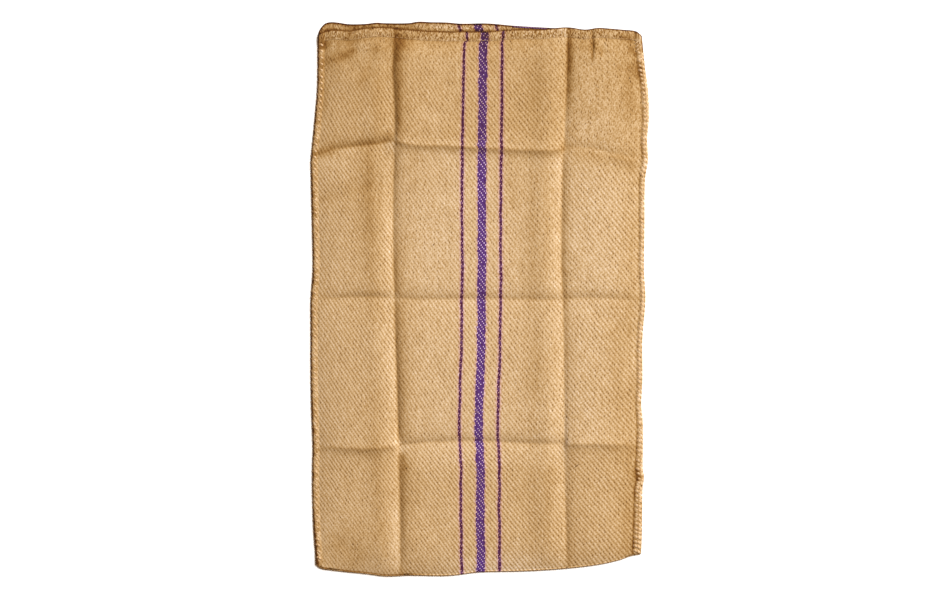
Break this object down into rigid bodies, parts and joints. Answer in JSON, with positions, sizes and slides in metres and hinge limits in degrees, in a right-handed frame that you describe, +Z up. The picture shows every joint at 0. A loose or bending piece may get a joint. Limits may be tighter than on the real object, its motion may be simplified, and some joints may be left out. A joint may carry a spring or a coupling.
{
  "type": "jute sack",
  "caption": "Empty striped jute twill sack lying flat, creased from folding, with a hemmed open mouth and overcast side seams.",
  "frame": {"origin": "middle of the flat underside, on the ground", "axes": "+Y towards the mouth, +X to the right when the sack is seen from above with its mouth away, +Z up from the back wall through the front wall"},
  "size_m": [0.6864, 1.1256, 0.017],
  "materials": {
    "jute_cloth": "coarse golden-brown jute twill with woven purple stripes"
  },
  "bodies": {
    "root": {"sack": "jute_cloth"}
  },
  "joints": []
}
